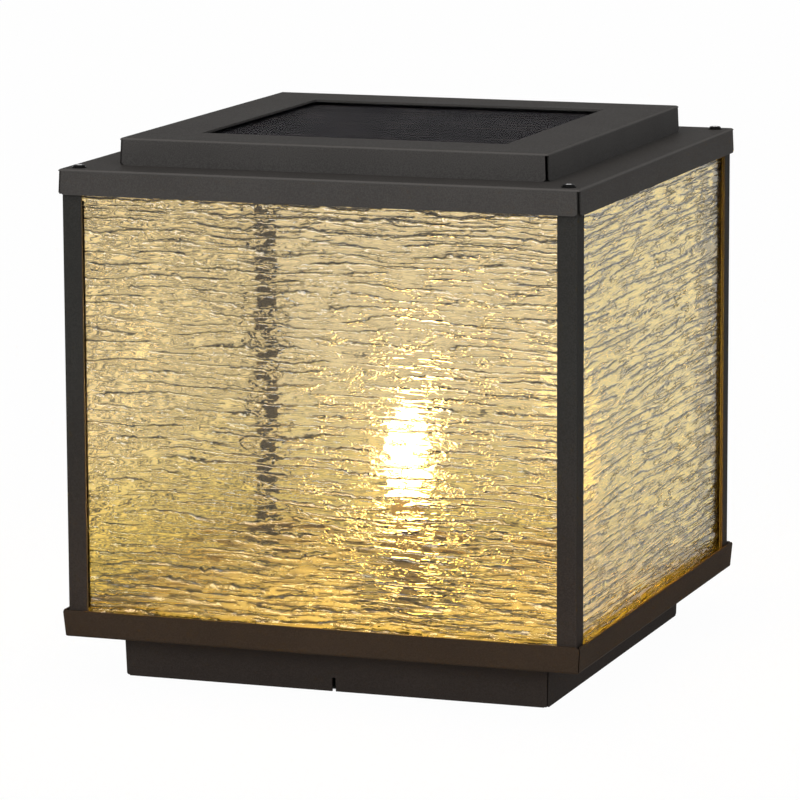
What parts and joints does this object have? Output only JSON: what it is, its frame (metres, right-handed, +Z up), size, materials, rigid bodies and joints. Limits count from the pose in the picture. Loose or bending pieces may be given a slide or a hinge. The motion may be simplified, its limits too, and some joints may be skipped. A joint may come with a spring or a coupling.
{
  "type": "solar pillar lantern",
  "caption": "Square solar lantern for a wall or pillar top: ripple glass panes in a dark folded-sheet frame, raised solar cap, warm bulb and low plinth.",
  "frame": {"origin": "under the middle of the plinth, on the surface that the lamp stands on", "axes": "+Z up, -Y out of the front, which has the slot in its plinth"},
  "size_m": [0.3024, 0.3024, 0.3039],
  "materials": {
    "powder_coat": "fine-textured dark grey powder coat",
    "black_screw": "black coated steel",
    "zinc_steel": "bright zinc plate",
    "ripple_glass": "clear ripple glass, outer face patterned",
    "panel_glass": "clear, satin",
    "solar_cell": "near-black cells",
    "panel_board": "matt black laminate",
    "black_plastic": "fine-textured moulding",
    "seal_rubber": "matt",
    "cable_jacket": "satin",
    "cell_wrap": "shrink wrap",
    "cell_foam": "closed-cell foam",
    "nickel": "nickel plate",
    "circuit_board": "green solder mask",
    "components": "moulded component bodies",
    "socket_moulding": "black heat-resistant moulding",
    "bulb_housing": "charcoal moulding",
    "light_board": "white board with light chips",
    "bulb_envelope": "opal, glows warm white",
    "button_cap": "moulded"
  },
  "bodies": {
    "lantern": {"base_tray": "powder_coat", "battery_box": "black_plastic", "battery_box_lid": "black_plastic", "battery_box_screws": "zinc_steel", "battery_cells": "cell_wrap", "battery_lid_screws": "zinc_steel", "board_components": "components", "box_gland": "seal_rubber", "bulb_contact": "nickel", "bulb_envelope": "bulb_envelope", "bulb_housing": "bulb_housing", "bulb_light_board": "light_board", "bulb_screw_cap": "nickel", "cable_clips": "black_plastic", "cap_screws": "zinc_steel", "cap_standoffs": "zinc_steel", "cell_pads": "cell_foam", "cell_tabs": "nickel", "connector_plug": "black_plastic", "connector_socket": "black_plastic", "controller_board": "circuit_board", "corner_post_back_left": "powder_coat", "corner_post_back_right": "powder_coat", "corner_post_front_left": "powder_coat", "corner_post_front_right": "powder_coat", "foot_welds": "powder_coat", "glass_pane_back": "ripple_glass", "glass_pane_front": "ripple_glass", "glass_pane_left": "ripple_glass", "glass_pane_right": "ripple_glass", "holder_screws": "zinc_steel", "lamp_holder_base": "black_plastic", "lamp_lead": "cable_jacket", "lamp_socket": "socket_moulding", "pane_blocks": "seal_rubber", "pane_retainers": "powder_coat", "pane_seals": "seal_rubber", "panel_backboard": "panel_board", "panel_cover_glass": "panel_glass", "panel_junction_box": "black_plastic", "panel_lead": "cable_jacket", "panel_seal": "seal_rubber", "plinth": "powder_coat", "plinth_nuts": "zinc_steel", "plinth_screws": "zinc_steel", "roof_corner_screws": "black_screw", "roof_gasket": "seal_rubber", "roof_grommet": "seal_rubber", "roof_pigtail": "cable_jacket", "roof_tray": "powder_coat", "socket_contact": "nickel", "solar_cap": "powder_coat", "solar_cells": "solar_cell", "switch_body": "black_plastic", "switch_lead": "cable_jacket", "switch_nut": "zinc_steel", "switch_seal": "seal_rubber"},
    "switch_button": {"switch_button": "button_cap"}
  },
  "joints": [
    {"name": "switch_press", "type": "slide", "parent": "lantern", "child": "switch_button", "axis": [0, 0, 1], "range_m": [0, 0.002], "stiffness_N_per_m": 400, "springref_m": -0.002}
  ]
}
